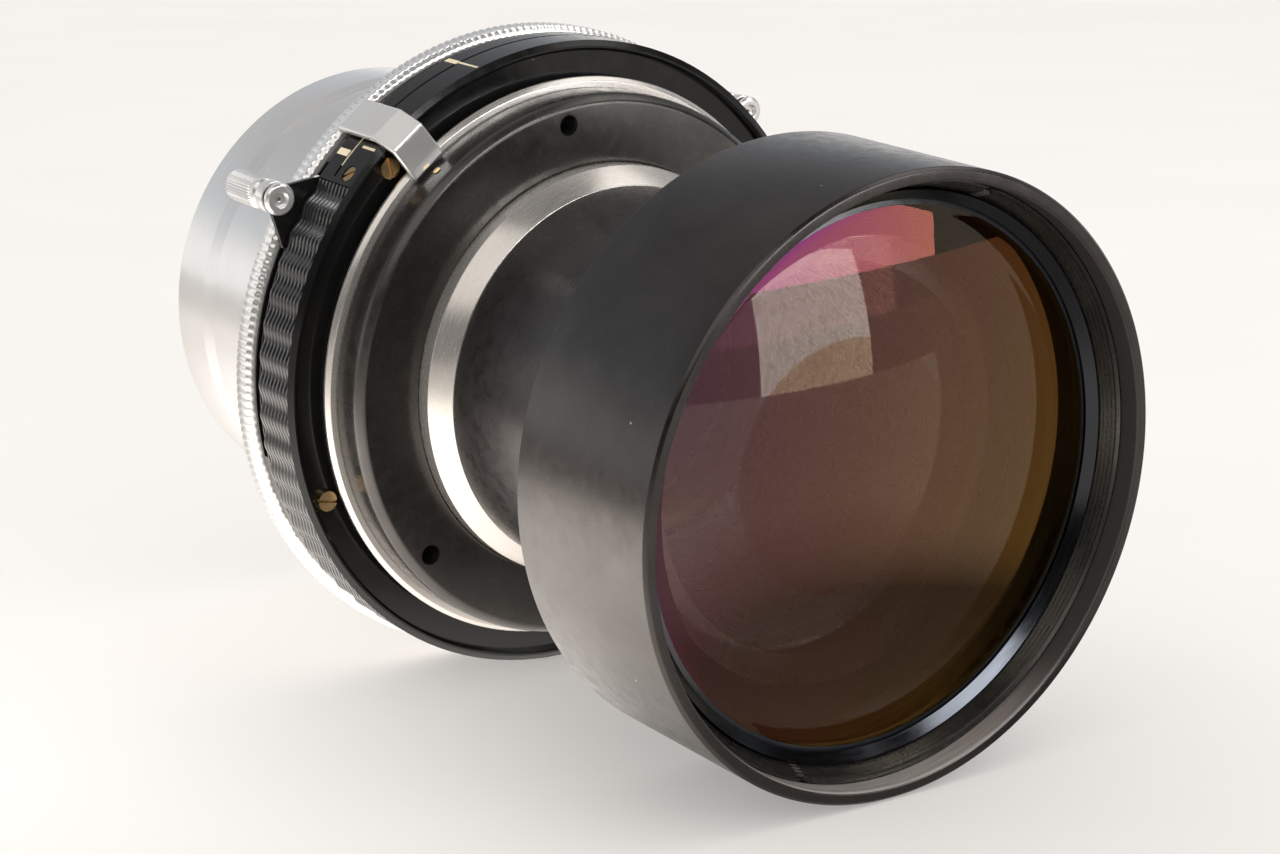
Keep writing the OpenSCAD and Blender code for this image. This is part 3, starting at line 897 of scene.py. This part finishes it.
def camera():
    """Camera at the photograph's viewing angle, level with the floor."""
    data = bpy.data.cameras.new("camera")
    data.lens = CAMERA_FOCAL
    data.sensor_width = SENSOR_WIDTH
    data.clip_start = 0.01
    made = bpy.data.objects.new("camera", data)
    look = Vector(CAMERA_LOOK).normalized()
    right = look.cross(floor_up()).normalized()
    up = right.cross(look)
    turn = Matrix((right, up, -look)).transposed()
    made.matrix_world = Matrix.Translation(Vector(CAMERA_AT) * MM) @ turn.to_4x4()
    bpy.context.scene.collection.objects.link(made)
    bpy.context.scene.camera = made


def key_light():
    """Large soft lamp above the lens, to its right, which gives the floor its faint shadow."""
    data = bpy.data.lights.new("key", "AREA")
    data.shape = "RECTANGLE"
    data.size = 0.9
    data.size_y = 0.7
    data.energy = 1.05
    data.color = (1.0, 0.985, 0.96)
    made = bpy.data.objects.new("key", data)
    at = Vector((0.45, -0.2, 1.0))
    made.matrix_world = Matrix.Translation(at) @ at.to_track_quat("Z", "Y").to_matrix().to_4x4()
    made.visible_glossy = False
    made.visible_camera = False
    bpy.context.scene.collection.objects.link(made)


# ---------------------------------------------------------------- the scene

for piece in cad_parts.values():
    slot = piece.material_slots[0]
    slot.material = SLOT_FINISH.get(slot.material.name, inner_black)

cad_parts["neck_tube"].material_slots[0].material = neck_black

rear_barrel()
retaining_ring()
glass("rear_element", 38.5, 37.6, -3.0, -2.5, 303, 75, bevel=1.1)
glass("rear_inner_element", 31.0, 29.5, -3.6, -4.8, 100, 35)
glass("neck_element", 24.0, 24.0, 1.5, -2.0, 240, 260)
glass("front_element", 30.0, 30.4, 1.5, 3.0, 240, 290)
glass("front_inner_element", 24.0, 24.0, -2.0, 2.0, 240, 260)
mounting_tube()
flange()
aperture_ring()
aperture_lever()
grip_band()
scale_marks()
speed_ring()
knob("cocking_knob", "cocking")
knob("release_knob", "release")
front_plate()
front_barrel()

floor()
sky()

# The window that the glass mirrors, and a large card over the lens.
softbox("window", (405, -700, 161), (405, 0, 161), (436, 376), 4.0, (1.0, 0.99, 1.0))
softbox("overhead", (570, -270, 775), (0, 0, 0), (560, 460), 1.5, (1.0, 0.98, 0.95))

# What the ring's bare lip mirrors, and a pale wall for the bright metal on the left.
mirrored_card("strip", (45, -720, 540), (20, -60, -35), (520, 190), 7.0, (0.95, 0.98, 1.0))
mirrored_card("fill", (-560, -480, 690), (0, 0, 0), (800, 700), 1.0, (1.0, 0.96, 0.92))

key_light()
camera()
bpy.context.scene.view_settings.view_transform = "Standard"
